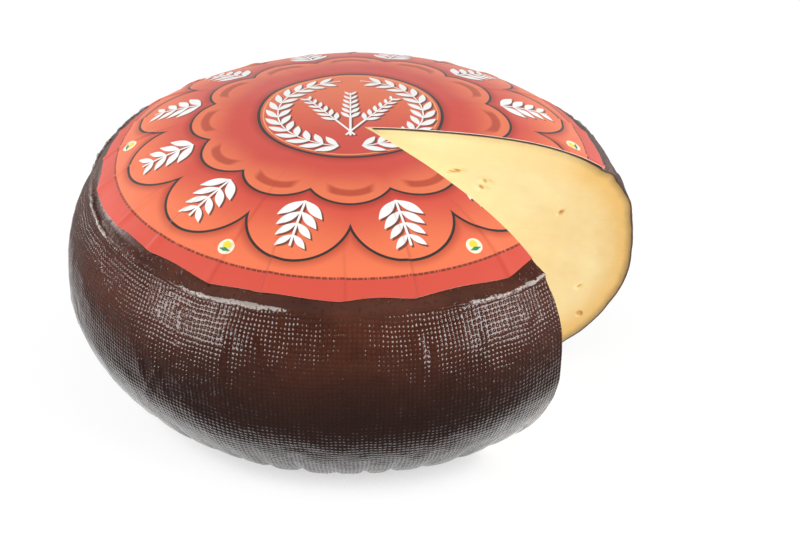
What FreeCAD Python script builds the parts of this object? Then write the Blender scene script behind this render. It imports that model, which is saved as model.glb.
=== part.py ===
"""Abbey cheese wheel with one wedge cut away, and the printed paper disc that is glued on its crown.

The wheel is a low, bulging drum of pressed semi-soft cheese. Its crown is domed, its side is fullest a little
under half height and draws in to a flat foot. A knife has taken out one wedge, down through the foot, so that
two upright cut walls meet in a line a little in front of the wheel's middle. The blade drifted, so both cuts
are slightly bowed in plan.

Millimetres and degrees. +Z is up, the origin is at the middle of the foot on the rest plane, -Y is the front
and +X is to the right. Angles in plan turn from +X towards +Y.
"""
import FreeCAD
import Part
import Sketcher

import math
import os

from FreeCAD import Placement, Rotation, Vector

PARTS_FOLDER = "parts"

# Driving dimensions: alias, value and what it means. A value that starts with = follows from the others.
SIZES = (
    ("wheel_radius", 107.0, "half the breadth at the waist"),
    ("wheel_height", 109.0, "crown above the rest plane"),
    ("waist_height", 46.0, "height where the side is fullest"),
    ("foot_radius", 60.0, "flat foot that the wheel rests on"),
    ("crown_power", 2.33, "how long the crown stays level, 2 is an ellipse"),
    ("shoulder_power", 2.87, "how square the shoulder is, 2 is an ellipse"),
    ("belly_power", 1.75, "how full the side is under the waist, 2 is an ellipse"),
    ("lobe_height", 0.6, "how far the press left the side out of round"),
    ("crown_swell", 0.4, "how far the crown heaves up and down"),
    ("shoulder_swell", 0.5, "how far the shoulder stands out on its fuller side, halved"),
    ("lid_inset", 11.5, "ridge that the rim of the press lid left round the shoulder, in from the waist"),
    ("lid_ridge_width", 9.0, "breadth of that ridge along the shoulder"),
    ("lid_ridge_height", 1.1, "height of that ridge"),
    ("apex_right", 5.0, "meeting line of the cuts, right of the middle"),
    ("apex_front", 13.0, "meeting line of the cuts, in front of the middle"),
    ("far_cut_angle", 1.5, "far cut where it leaves the apex, turned back from +X"),
    ("far_cut_bend", 650.0, "radius in which the far cut bows back"),
    ("near_cut_angle", 49.5, "near cut where it leaves the apex, turned forward from +X"),
    ("near_cut_bend", 470.0, "radius in which the near cut bows back"),
    ("label_gap", 3.3, "bare crown between the paper disc and the crest of the lid ridge"),
    ("label_wave", 0.7, "how far the paper's edge wanders in and out"),
    ("paper_thickness", 0.3, "paper with its glue"),
    ("lid_ridge_radius", "=wheel_radius - lid_inset", "crest of the lid ridge"),
    ("label_radius", "=lid_ridge_radius - label_gap", "paper disc, about its middle"),
)

# Places where pressing left the side out of round: lobes to a turn, share of lobe_height, heading of one lobe.
SIDE_LOBES = ((2, 1.0, 25.0), (3, 0.75, 16.0), (5, 0.8, 0.0), (7, 0.6, -13.0))
# The same for the shoulder, as shares of shoulder_swell. The wave's own mean lies one swell outside.
SHOULDER_WAVES = ((1, 1.0, -20.0),)
# The same for the crown: waves to a turn, share of crown_swell, heading of one wave.
CROWN_WAVES = ((2, 0.7, 70.0), (3, 1.0, 40.0), (5, 0.6, 16.0))
# The same for the paper's edge, as shares of label_wave.
EDGE_WAVES = ((4, 0.5, 12.0), (7, 0.6, 40.0), (11, 0.5, 5.0), (17, 0.35, 8.0))
RING_POINTS = 36  # points round each ring of the skin
EDGE_POINTS = 90  # points round the paper's edge
SKIN_SEAM = 200.0  # heading where the skin's rings start and end, clear of the cuts
PAPER_SEAM = 215.0  # the same for the paper's edge, clear of the skin's seam
CROWN_RINGS = 12  # rings from the first one on the crown to the lid ridge
RIDGE_RINGS = 7  # rings across the lid ridge
FLANK_RINGS = 7  # rings from the lid ridge to the waist
BELLY_RINGS = 8  # rings from the waist to the foot
CUT_REACH = 1.4  # how far the knife's sweep reaches from the apex, in wheel radii
FIRST_RING = 0.06  # radius of the ring next to the crown's middle, as a share of the wheel's
FINE_STEPS = 600  # steps in which the half section is measured


def new_sheet(doc):
    """The spreadsheet with the driving dimensions, one row each."""
    sheet = doc.addObject("Spreadsheet::Sheet", "sizes")
    for row, (alias, value, note) in enumerate(SIZES, start=1):
        sheet.set(f"A{row}", alias)
        sheet.set(f"B{row}", str(value))
        sheet.setAlias(f"B{row}", alias)
        sheet.set(f"C{row}", note)
    doc.recompute()
    return sheet


# ---------------------------------------------------------------- half section of the wheel


def crown_height(sheet, radius):
    """Height of the plain crown and shoulder at this radius."""
    share = min(1.0, radius / sheet.wheel_radius)
    rise = sheet.wheel_height - sheet.waist_height
    return sheet.waist_height + rise * (1.0 - share**sheet.crown_power) ** (1.0 / sheet.shoulder_power)


def crown_point(sheet, turn):
    """Point of the crown and shoulder, where turn runs from 0 at the crown to 90 degrees at the waist."""
    radius = sheet.wheel_radius * math.sin(turn) ** (2.0 / sheet.crown_power)
    return radius, crown_height(sheet, radius)


def belly_point(sheet, turn):
    """Point of the side under the waist, where turn runs from 0 at the waist to 90 degrees at the foot."""
    overhang = sheet.wheel_radius - sheet.foot_radius
    radius = sheet.foot_radius + overhang * max(0.0, math.cos(turn)) ** (2.0 / sheet.belly_power)
    return radius, sheet.waist_height * (1.0 - math.sin(turn) ** (2.0 / sheet.belly_power))


def evenly_along(curve, first, last, count):
    """Points of a plane curve at equal distances along it, both ends included."""
    turns = [first + (last - first) * i / FINE_STEPS for i in range(FINE_STEPS + 1)]
    fine = [curve(turn) for turn in turns]
    run = [0.0]
    for before, after in zip(fine, fine[1:]):
        run.append(run[-1] + math.dist(before, after))
    points = []
    k = 0
    for i in range(count):
        wanted = run[-1] * i / (count - 1)
        while k < FINE_STEPS - 1 and run[k + 1] < wanted:
            k += 1
        share = (wanted - run[k]) / (run[k + 1] - run[k])
        points.append(tuple(a + (b - a) * share for a, b in zip(fine[k], fine[k + 1])))
    return points


def evenly_round(seam, count):
    """Headings in degrees that share a full turn, from the seam on."""
    return [seam + 360.0 * i / count for i in range(count)]


def closed_curve(points):
    """Smooth closed wire through points. Curves through as many points have their knots at the same shares."""
    curve = Part.BSplineCurve()
    knots = [i / len(points) for i in range(len(points) + 1)]
    curve.interpolate(Points=points, PeriodicFlag=True, Parameters=knots)
    return Part.Wire(curve.toShape())


def turn_at(sheet, radius):
    """The crown's turn at this radius."""
    return math.asin((radius / sheet.wheel_radius) ** (sheet.crown_power / 2.0))


def turn_past(sheet, turn, distance):
    """The turn that lies this far along the crown curve from another turn, a negative distance towards the middle."""
    step = math.copysign(math.pi / 2 / FINE_STEPS, distance)
    here = crown_point(sheet, turn)
    run = 0.0
    while run < abs(distance) and 0.0 < turn + step < math.pi / 2:
        turn += step
        there = crown_point(sheet, turn)
        run += math.dist(here, there)
        here = there
    return turn


def half_section(sheet):
    """The wheel's plain half section from the first ring on the crown down to the foot, as (radius, height)."""
    ridge = turn_at(sheet, sheet.lid_ridge_radius)
    stops = (
        turn_at(sheet, FIRST_RING * sheet.wheel_radius),
        turn_past(sheet, ridge, -sheet.lid_ridge_width / 2),
        turn_past(sheet, ridge, sheet.lid_ridge_width / 2),
        math.pi / 2,
    )
    points = []
    for first, last, count in zip(stops, stops[1:], (CROWN_RINGS, RIDGE_RINGS, FLANK_RINGS)):
        points += evenly_along(lambda turn: crown_point(sheet, turn), first, last, count)[:-1]
    return points + evenly_along(lambda turn: belly_point(sheet, turn), 0.0, math.pi / 2, BELLY_RINGS)


def outward(section, k):
    """Unit normal of the half section at its point k, as (radial, upward)."""
    before = section[max(k - 1, 0)]
    after = section[min(k + 1, len(section) - 1)]
    along = (after[0] - before[0], after[1] - before[1])
    length = math.hypot(*along)
    return -along[1] / length, along[0] / length


# ---------------------------------------------------------------- unevenness


def waves(table, heading):
    """Sum of a table's waves at this heading in degrees."""
    return sum(share * math.cos(math.radians(count * (heading - at))) for count, share, at in table)


def side_bulge(sheet, height, heading):
    """How far the side stands out at this height and heading: fullest at the waist, nothing at crown and foot."""
    over_foot = math.sin(math.pi * height / sheet.wheel_height)
    return sheet.lobe_height * max(0.0, over_foot) * waves(SIDE_LOBES, heading)


def crown_heave(sheet, radius, heading):
    """How far the crown is lifted: nothing at its middle and at the rim, most in between."""
    between = math.sin(math.pi * min(1.0, radius / sheet.wheel_radius)) ** 2
    return sheet.crown_swell * between * waves(CROWN_WAVES, heading)


def shoulder_bulge(sheet, height, heading):
    """How far the shoulder stands out: nothing at the waist and at the crown's middle, most half way between."""
    share = (height - sheet.waist_height) / (sheet.wheel_height - sheet.waist_height)
    return sheet.shoulder_swell * math.sin(math.pi * share) ** 2 * (1.0 + waves(SHOULDER_WAVES, heading))


def lid_ridge(sheet, radius, height):
    """How far the lid ridge stands out at this point of the half section."""
    crest = sheet.lid_ridge_radius
    away = math.dist((radius, height), (crest, crown_height(sheet, crest)))
    share = min(1.0, 2.0 * away / sheet.lid_ridge_width)
    return sheet.lid_ridge_height * math.cos(math.pi / 2 * share) ** 2


def ring_point(sheet, section, k, heading):
    """Point of ring k of the wheel's skin at this heading."""
    radius, height = section[k]
    proud = 0.0
    if k > 0 and height > sheet.waist_height:
        proud = shoulder_bulge(sheet, height, heading) + lid_ridge(sheet, radius, height)
        height += crown_heave(sheet, radius, heading)
    radial, upward = outward(section, k)
    radius += side_bulge(sheet, height, heading) + proud * radial
    height += proud * upward
    angle = math.radians(heading)
    return Vector(radius * math.cos(angle), radius * math.sin(angle), height)


def skin_solid(sheet):
    """The whole uncut wheel as a solid, a smooth skin from the crown's middle through uneven rings."""
    section = half_section(sheet)
    rings = [Part.Vertex(0, 0, sheet.wheel_height)]
    for k in range(len(section)):
        points = [ring_point(sheet, section, k, heading) for heading in evenly_round(SKIN_SEAM, RING_POINTS)]
        rings.append(closed_curve(points))
    return Part.makeLoft(rings, True)


# ---------------------------------------------------------------- sub-parts


def whole_wheel(doc, sheet):
    """The wheel before it was cut."""
    wheel = doc.addObject("Part::Feature", "whole_wheel")
    wheel.Shape = skin_solid(sheet)
    wheel.Placement = Placement(Vector(0, 0, 0), Rotation())
    return wheel


def origin_plane(body, role):
    """One of a body's own origin planes."""
    return next(f for f in body.Origin.OriginFeatures if f.Role == role)


def bowed_cut(plan, sheet, side, turn):
    """Adds one cut to the plan: an arc that leaves the apex along a straight lead and bows back from it."""
    apex = Vector(sheet.apex_right, -sheet.apex_front, 0)
    bend = getattr(sheet, f"{side}_cut_bend")
    reach = CUT_REACH * sheet.wheel_radius
    heading = math.radians(turn)
    along = Vector(math.cos(heading), math.sin(heading), 0)
    centre = apex + Vector(-math.sin(heading), math.cos(heading), 0) * bend
    first = heading - math.pi / 2
    lead = plan.addGeometry(Part.LineSegment(apex, apex + along * reach), True)
    circle = Part.Circle(centre, Vector(0, 0, 1), bend)
    arc = plan.addGeometry(Part.ArcOfCircle(circle, first, first + 2 * math.asin(reach / bend / 2)), False)
    plan.addConstraint(Sketcher.Constraint("Tangent", arc, 1, lead, 1))
    sign = "-" if turn < 0 else ""
    bound = (
        ("angle", Sketcher.Constraint("Angle", lead, heading), f"{sign}sizes.{side}_cut_angle * 1 deg"),
        ("lead", Sketcher.Constraint("Distance", lead, reach), f"sizes.wheel_radius * {CUT_REACH}"),
        ("bend", Sketcher.Constraint("Radius", arc, bend), f"sizes.{side}_cut_bend"),
        ("reach", Sketcher.Constraint("Distance", arc, 1, arc, 2, reach), f"sizes.wheel_radius * {CUT_REACH}"),
    )
    for name, constraint, formula in bound:
        bind(plan, f"{side}_{name}", constraint, formula)
    return arc


def bind(plan, name, constraint, formula):
    """Adds a named constraint to the sketch and ties it to the sheet."""
    plan.renameConstraint(plan.addConstraint(constraint), name)
    plan.setExpression(f"Constraints.{name}", formula)


def knife_sweep(doc, sheet):
    """The space that the knife opened: an upright prism with a corner at the apex, longer than the wheel is high."""
    body = doc.addObject("PartDesign::Body", "knife_sweep")
    plan = body.newObject("Sketcher::SketchObject", "cut_plan")
    plan.AttachmentSupport = [(origin_plane(body, "XY_Plane"), "")]
    plan.MapMode = "FlatFace"
    far_cut = bowed_cut(plan, sheet, "far", sheet.far_cut_angle)
    near_cut = bowed_cut(plan, sheet, "near", -sheet.near_cut_angle)
    plan.addConstraint(Sketcher.Constraint("Coincident", far_cut, 1, near_cut, 1))
    far_end = plan.getPoint(far_cut, 2)
    near_end = plan.getPoint(near_cut, 2)
    outside = plan.addGeometry(Part.LineSegment(far_end, near_end), False)
    plan.addConstraint(Sketcher.Constraint("Coincident", far_cut, 2, outside, 1))
    plan.addConstraint(Sketcher.Constraint("Coincident", outside, 2, near_cut, 2))
    right = Sketcher.Constraint("DistanceX", -1, 1, far_cut, 1, sheet.apex_right)
    front = Sketcher.Constraint("DistanceY", far_cut, 1, -1, 1, sheet.apex_front)
    bind(plan, "apex_right", right, "sizes.apex_right")
    bind(plan, "apex_front", front, "sizes.apex_front")
    sweep = body.newObject("PartDesign::Pad", "cut_height")
    sweep.Profile = plan
    sweep.Midplane = True
    sweep.setExpression("Length", "sizes.wheel_height * 4")
    body.Tip = sweep
    return body


def cheese_wheel(doc, wheel, knife):
    """The wheel as it stands, without its wedge."""
    cheese = doc.addObject("Part::Cut", "cheese_wheel")
    cheese.Base = wheel
    cheese.Tool = knife
    cheese.Label = "cheese_wheel"
    return cheese


def label_blank(doc, sheet):
    """The paper's outline, a disc with an uneven edge, as tall as the wheel's upper half."""
    outline = doc.addObject("Part::Feature", "label_outline")
    points = []
    for heading in evenly_round(PAPER_SEAM, EDGE_POINTS):
        reach = sheet.label_radius + sheet.label_wave * waves(EDGE_WAVES, heading)
        angle = math.radians(heading)
        points.append(Vector(reach * math.cos(angle), reach * math.sin(angle), 0))
    outline.Shape = Part.Face(closed_curve(points))
    blank = doc.addObject("Part::Extrusion", "label_blank")
    blank.Base = outline
    blank.DirMode = "Custom"
    blank.Dir = Vector(0, 0, 1)
    blank.Solid = True
    blank.setExpression("LengthFwd", "sizes.wheel_height * 2")
    blank.setExpression("Placement.Base.z", "sizes.waist_height")
    return blank


def paper_label(doc, sheet, wheel, knife):
    """The printed paper disc: the stretch of the wheel's skin under the blank, made one paper thick."""
    skin = doc.addObject("Part::Feature", "wheel_skin")
    skin.Shape = max(wheel.Shape.Faces, key=lambda face: face.Area)
    skin.Placement = Placement(Vector(0, 0, 0), Rotation())
    disc = doc.addObject("Part::Common", "whole_disc")
    disc.Base = skin
    disc.Tool = label_blank(doc, sheet)
    glued = doc.addObject("Part::Cut", "glued_side")
    glued.Base = disc
    glued.Tool = knife
    label = doc.addObject("Part::Extrusion", "paper_label")
    label.Base = glued
    label.DirMode = "Custom"
    label.Dir = Vector(0, 0, 1)
    label.setExpression("LengthFwd", "sizes.paper_thickness")
    label.Label = "paper_label"
    return label


# ---------------------------------------------------------------- document


def check(doc, sub_parts):
    """Stops the build if an object failed or a sub-part isn't one sound solid."""
    for thing in doc.Objects:
        if "Invalid" in thing.State or "Error" in thing.State:
            raise RuntimeError(f"{thing.Label} failed: {thing.State}")
    for thing in sub_parts:
        shape = thing.Shape
        if shape.isNull() or not shape.isValid() or len(shape.Solids) != 1:
            raise RuntimeError(f"{thing.Label} is not one valid solid")


def write(sub_parts):
    """Writes each sub-part to its own STEP file, named by its label."""
    os.makedirs(PARTS_FOLDER, exist_ok=True)
    for thing in sub_parts:
        thing.Shape.exportStep(os.path.join(PARTS_FOLDER, f"{thing.Label}.step"))


def main():
    doc = FreeCAD.newDocument("abbey_cheese_wheel")
    sheet = new_sheet(doc)
    wheel = whole_wheel(doc, sheet)
    knife = knife_sweep(doc, sheet)
    sub_parts = [cheese_wheel(doc, wheel, knife), paper_label(doc, sheet, wheel, knife)]
    doc.recompute()
    check(doc, sub_parts)
    write(sub_parts)
    for thing in sub_parts:
        shape = thing.Shape
        box = shape.BoundBox
        print(f"{thing.Label}: {shape.Volume / 1000:.1f} cm3, {len(shape.Faces)} faces,", end=" ")
        print(f"x {box.XMin:.2f} to {box.XMax:.2f}, y {box.YMin:.2f} to {box.YMax:.2f},", end=" ")
        print(f"z {box.ZMin:.2f} to {box.ZMax:.2f}")


main()
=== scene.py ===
"""Looks for the abbey cheese wheel with one wedge cut away: coated rind, cut paste, printed paper and stage.

Metres. +Z is up, -Y is the front, +X is to the right, and the origin is at the middle of the wheel's foot.
"""
import math

import bmesh
import bpy
import numpy as np
from bpy.props import FloatProperty, FloatVectorProperty, IntProperty, PointerProperty
from bpy.types import Operator, Panel, PropertyGroup
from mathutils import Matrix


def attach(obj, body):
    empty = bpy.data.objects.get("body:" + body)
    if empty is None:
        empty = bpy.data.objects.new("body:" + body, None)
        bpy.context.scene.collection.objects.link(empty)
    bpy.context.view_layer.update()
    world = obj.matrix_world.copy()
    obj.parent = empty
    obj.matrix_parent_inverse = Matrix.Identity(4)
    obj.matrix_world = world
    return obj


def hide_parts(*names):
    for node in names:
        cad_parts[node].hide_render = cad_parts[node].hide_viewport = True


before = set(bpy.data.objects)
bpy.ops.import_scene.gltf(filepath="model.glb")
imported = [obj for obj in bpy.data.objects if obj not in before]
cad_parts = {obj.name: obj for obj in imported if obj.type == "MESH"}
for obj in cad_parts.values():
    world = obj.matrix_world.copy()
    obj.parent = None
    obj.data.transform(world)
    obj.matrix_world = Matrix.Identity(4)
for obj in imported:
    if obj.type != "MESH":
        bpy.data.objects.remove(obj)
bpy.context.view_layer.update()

bl_info = {
    "name": "Abbey Cheese Wheel",
    "version": (1, 0, 0),
    "blender": (4, 5, 0),
    "location": "3D View > Sidebar > Cheese",
    "description": "Builds a cut wheel of coated cheese with its printed paper disc",
    "category": "Object",
}

MM = 0.001

# Waves of the side, the shoulder, the crown and the paper's edge, as the solids have them: waves to a turn,
# share of the named height, and heading of one wave in degrees.
SIDE_LOBES = ((2, 1.0, 25.0), (3, 0.75, 16.0), (5, 0.8, 0.0), (7, 0.6, -13.0))
SHOULDER_WAVES = ((1, 1.0, -20.0),)
CROWN_WAVES = ((2, 0.7, 70.0), (3, 1.0, 40.0), (5, 0.6, 16.0))
EDGE_WAVES = ((4, 0.5, 12.0), (7, 0.6, 40.0), (11, 0.5, 5.0), (17, 0.35, 8.0))
# Where the lid's lip is still whole: heading of the middle of each stretch and half its spread, in degrees.
LIP_ARCS = ((-114.0, 11.0), (-46.0, 20.0), (-158.0, 9.0), (163.0, 16.0), (116.0, 10.0), (70.0, 20.0),
            (24.0, 8.0))
WORN_LIP, WHOLE_LIP = 0.06, 0.78  # height of the lip in mm, rubbed away and whole
FOOT_FOLDS = 52  # folds of the press cloth gathered round the foot
CREASES = 26  # creases down the side
# Small openings in the cut walls: distance from the apex, height, length and breadth in mm, lean in radians.
OPENINGS = {
    "far": ((33.0, 90.0, 6.5, 1.7, 0.15), (44.0, 84.0, 5.2, 1.9, 1.35), (61.0, 52.0, 3.0, 1.6, 0.1),
            (74.0, 70.0, 2.6, 1.5, 0.9), (28.0, 40.0, 2.6, 1.6, 0.2), (84.0, 36.0, 2.2, 1.4, 0.6)),
    "near": ((13.5, 92.0, 6.5, 1.8, 0.5), (23.0, 88.0, 5.0, 1.7, 1.5), (44.0, 60.0, 3.2, 2.0, 0.2),
             (66.0, 42.0, 2.6, 1.8, 0.4), (30.0, 25.0, 2.6, 1.6, 0.1), (80.0, 66.0, 2.4, 1.5, 1.1)),
}
OPENING_DEPTH = 1.1 * MM
WALL_SEEDS = {"far": 40, "near": 60}

# Motifs of the print, in metres on the flat sheet: rings of round petals and sprays of leaves.
OUTER_PETALS = {"Count": 12.0, "Turn": math.radians(15), "Centre": 0.066, "Radius": 0.018}
INNER_PETALS = {"Count": 12.0, "Turn": 0.0, "Centre": 0.0435, "Radius": 0.0155}
SMALL_ROUNDS = {"Count": 6.0, "Turn": 0.0, "Centre": 0.0838, "Radius": 0.0030}
SPRIG = {"Length": 0.0185, "Pitch": 0.0051, "Slant": 0.80, "Leaf_Length": 0.0112, "Leaf_Width": 0.0019,
         "Taper": 0.38, "Stem": 0.0005}
WREATH = {"Length": 0.070, "Pitch": 0.0056, "Slant": 0.62, "Leaf_Length": 0.0088, "Leaf_Width": 0.0015,
          "Taper": 0.15, "Stem": 0.00035}
EAR = {"Length": 0.0195, "Pitch": 0.0038, "Slant": 0.62, "Leaf_Length": 0.0062, "Leaf_Width": 0.00105,
       "Taper": 0.35, "Stem": 0.00035}
WREATH_RADIUS = 0.0265
MEDALLION_RADIUS = 0.0335
BORDER_START, BORDER_END = 0.0885, 0.0900  # where the orange ground turns into the red border
DASHES_RADIUS = 0.0893  # thin broken ring on the border
DASHES_PER_RADIAN = 44.0

# Studio lamps: place, breadth and height in metres, and watts.
LAMPS = {
    "key_left": ((-0.82, -0.46, 0.35), 0.46, 0.50, 9.4),
    "key_right": ((0.80, -0.50, 0.35), 0.46, 0.50, 10.4),
    "overhead": ((-0.1, 0.2, 1.3), 1.5, 1.5, 2.9),
    "back_left": ((-0.85, 0.6, 0.38), 0.46, 0.44, 4.2),
    "back_right": ((0.82, 0.62, 0.38), 0.46, 0.44, 4.2),
}
LAMPS_AIM = (0.0, 0.0, 0.06)
CAMERA_AIM = (0.0, 0.0, 0.0463)
CAMERA_AWAY = 0.5885
CAMERA_RISE = math.radians(32.18)
CAMERA_SHIFT = (0.062, -0.015)
FLOOR_HALF = 4.0

COLUMNS = 420  # columns of the skin from the far cut round to the near one
PAPER_COLUMNS = 800  # columns of the paper disc, fine enough for its pleats
HUB_RADIUS = 30 * MM  # rings start here, and inside it the columns run straight in to the apex
HUB_ROWS, FOOT_HUB_ROWS = 8, 6  # rows from the apex to the first ring, on the crown and under the foot
WALL_RINGS = 64  # rings of a cut wall from its middle to its rim
APEX_ROWS = 70  # rows down the line where the cuts meet
SECTION_STEPS, FOOT_STEPS = 4000, 200  # steps in which the half section's curves and its foot are measured
SLOPE_STEP = 0.0004  # step over which the section's slope is taken
# Rows of the paper: from and to, as shares of the way from the apex to the edge, and rows with both ends.
PAPER_ROWS = ((0.0, 0.30, 10), (0.30, 0.80, 22), (0.80, 1.0, 20))
GLUE = 0.08 * MM  # gap between the rind and the paper's underside


def number(name, description, default, **more):
    """A number that a user can change."""
    return FloatProperty(name=name, description=description, default=default, **more)


def length(name, description, default):
    """A length that a user can change."""
    return number(name, description, default, unit="LENGTH", precision=4)


def colour(name, description, default):
    """A colour that a user can change."""
    return FloatVectorProperty(
        name=name, description=description, default=default, subtype="COLOR", size=3, min=0.0, max=1.0
    )


class WheelSizes(PropertyGroup):
    """Sizes of the wheel, as the solids have them."""

    wheel_radius: length("Wheel radius", "Half the breadth at the waist", 0.107)
    wheel_height: length("Wheel height", "Crown above the rest plane", 0.109)
    waist_height: length("Waist height", "Height where the side is fullest", 0.046)
    foot_radius: length("Foot radius", "Flat foot that the wheel rests on", 0.060)
    crown_power: number("Crown power", "How long the crown stays level", 2.33)
    shoulder_power: number("Shoulder power", "How square the shoulder is", 2.87)
    belly_power: number("Belly power", "How full the side is under the waist", 1.75)
    lobe_height: length("Lobe height", "How far the side is out of round", 0.0006)
    crown_swell: length("Crown swell", "How far the crown heaves", 0.0004)
    shoulder_swell: length("Shoulder swell", "How far the shoulder stands out, halved", 0.0005)
    lid_ridge_radius: length("Lid ridge radius", "Crest of the ridge left by the press lid", 0.0955)
    lid_ridge_width: length("Lid ridge width", "Breadth of that ridge", 0.009)
    lid_ridge_height: length("Lid ridge height", "Height of that ridge", 0.0011)


class CutSizes(PropertyGroup):
    """Where the knife went, as in the solids."""

    apex_right: length("Apex right", "Meeting line of the cuts, right of the middle", 0.005)
    apex_front: length("Apex front", "Meeting line of the cuts, in front of the middle", 0.013)
    far_angle: number("Far angle", "Far cut from the apex", math.radians(1.5), subtype="ANGLE")
    far_bend: length("Far bend", "Radius in which the far cut bows back", 0.650)
    near_angle: number("Near angle", "Near cut from the apex", math.radians(-49.5), subtype="ANGLE")
    near_bend: length("Near bend", "Radius in which the near cut bows back", 0.470)


class LabelSizes(PropertyGroup):
    """Sizes of the paper disc."""

    label_radius: length("Label radius", "Paper disc about its middle", 0.0922)
    label_wave: length("Label wave", "How far the paper's edge wanders", 0.0007)
    paper_thickness: length("Paper thickness", "Paper with its glue", 0.0003)
    pleats: IntProperty(name="Pleats", description="Folds that the dome forces into the paper", default=24)


class RindLook(PropertyGroup):
    """Colours and cloth marks of the rind, with a painted shade brown and a pale lip colour that is partly a
    painted highlight.
    """

    base: colour("Coat brown", "Coated rind", (0.046, 0.0120, 0.0062))
    warm: colour("Warm brown", "Thinner places in the coat", (0.088, 0.0250, 0.0130))
    # painted shade: this brown darkens the weave's grooves, the pits in the smooth band and the side below
    # the waist
    shade_brown: colour("Deep brown", "Grooves and creases", (0.011, 0.0038, 0.0026))
    # partly scuffed wax, partly a painted highlight: pale grey along the lip's crest where it catches the
    # light
    scuff_and_highlight: colour("Scuffed coat", "Rubbed lip at the lid's rim", (0.48, 0.42, 0.39))
    weave_pitch: length("Weave pitch", "Thread spacing of the press cloth", 0.00155)
    weave_depth: length("Weave depth", "Height of the bumps between the threads", 0.00018)


class PasteLook(PropertyGroup):
    """Colours of the cut cheese."""

    pale: colour("Paste", "Cut cheese", (0.89, 0.74, 0.41))
    heart: colour("Heart", "Palest cheese, at the tip of the cut", (0.92, 0.86, 0.54))
    amber: colour("Amber", "Moist cheese towards the rind", (0.74, 0.42, 0.09))
    under_rind: colour("Under the rind", "Darker zone next to the rind", (0.33, 0.22, 0.09))
    rind_line: colour("Rind line", "Thin line of the cut rind", (0.05, 0.022, 0.012))
    # painted shade: a darker amber inside the small openings and eyes, where shade falls in the hollow
    opening: colour("Opening", "Inside of a small opening", (0.70, 0.34, 0.06))


class PrintLook(PropertyGroup):
    """Colours of the printed paper."""

    orange: colour("Orange", "Bright end of the print", (0.82, 0.190, 0.082))
    red: colour("Red", "Deep end of the print", (0.65, 0.073, 0.050))
    border: colour("Border", "Ring at the edge", (0.57, 0.060, 0.044))
    shade: colour("Shade", "Soft shade round the petals", (0.25, 0.016, 0.010))
    crescent: colour("Crescent", "Crescents in the inner petals", (0.36, 0.020, 0.012))
    gold: colour("Gold", "Thin ring in the medallion", (0.85, 0.42, 0.16))
    line: colour("Line", "Dark lines", (0.030, 0.028, 0.026))
    white: colour("White", "White motifs", (0.93, 0.92, 0.90))
    drop_shade: colour("Drop shade", "Shade beside the white motifs", (0.075, 0.035, 0.025))
    dashes: colour("Dashes", "Thin broken ring", (0.10, 0.02, 0.015))
    cream: colour("Cream", "Ground of the small rounds", (0.86, 0.82, 0.62))
    yellow: colour("Yellow", "Middle of the small rounds", (0.82, 0.66, 0.05))
    green: colour("Green", "Leaf in the small rounds", (0.04, 0.25, 0.12))
    # painted shade: a dark line in the crease at the foot of each pleat
    fold: colour("Fold", "Line at the foot of a pleat", (0.32, 0.03, 0.02))
    paper: colour("Paper", "Bare paper at the edges", (0.85, 0.78, 0.70))
    glue: colour("Glue", "Stains of glue in the bare paper", (0.60, 0.30, 0.16))


# ---------------------------------------------------------------- form of the wheel


def waves(table, heading):
    """Sum of a table's waves at these headings in radians."""
    return sum(part * np.cos(count * (heading - math.radians(at))) for count, part, at in table)


def ripples(places, size, seed, octaves=1):
    """Smooth noise between about -1 and 1, with features of this size. places is (..., axes)."""
    chance = np.random.default_rng(seed)
    total = np.zeros(places.shape[:-1])
    for octave in range(octaves):
        part = np.zeros_like(total)
        pace = 2 * math.pi / size * 2**octave
        for _ in range(14):
            way = chance.normal(size=places.shape[-1])
            way *= chance.uniform(0.5, 1.1) / np.linalg.norm(way)
            part += np.sin(places @ way * pace + chance.uniform(0, 2 * math.pi))
        total += part / 5.3 / 1.7**octave
    return total


def smooth_step(value, low, high):
    """0 below low, 1 above high and smooth in between."""
    t = np.clip((value - low) / (high - low), 0.0, 1.0)
    return t * t * (3.0 - 2.0 * t)


def rise_and_fall(value, low, full, fading, gone):
    """0 below low, 1 from full to fading, 0 past gone, and smooth in between."""
    return smooth_step(value, low, full) * (1.0 - smooth_step(value, fading, gone))


def bell(value, breadth):
    """1 at zero, falling smoothly to nothing at about twice this breadth on both sides."""
    return np.exp(-((value / breadth) ** 2))


def join(*parts):
    """Arrays side by side, along a new last axis."""
    return np.stack(parts, axis=-1)


def in_space(radius, heading, height):
    """Places at this plan radius, heading and height."""
    return join(radius * np.cos(heading), radius * np.sin(heading), height)


def turn_from(at, heading):
    """Signed turn from one heading to others, within half a turn either way."""
    return (heading - at + math.pi) % (2 * math.pi) - math.pi


def crown_height(wheel, radius):
    """Height of the plain crown and shoulder at this radius."""
    part = np.clip(radius / wheel.wheel_radius, 0.0, 1.0)
    rise = wheel.wheel_height - wheel.waist_height
    return wheel.waist_height + rise * (1.0 - part**wheel.crown_power) ** (1.0 / wheel.shoulder_power)


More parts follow.
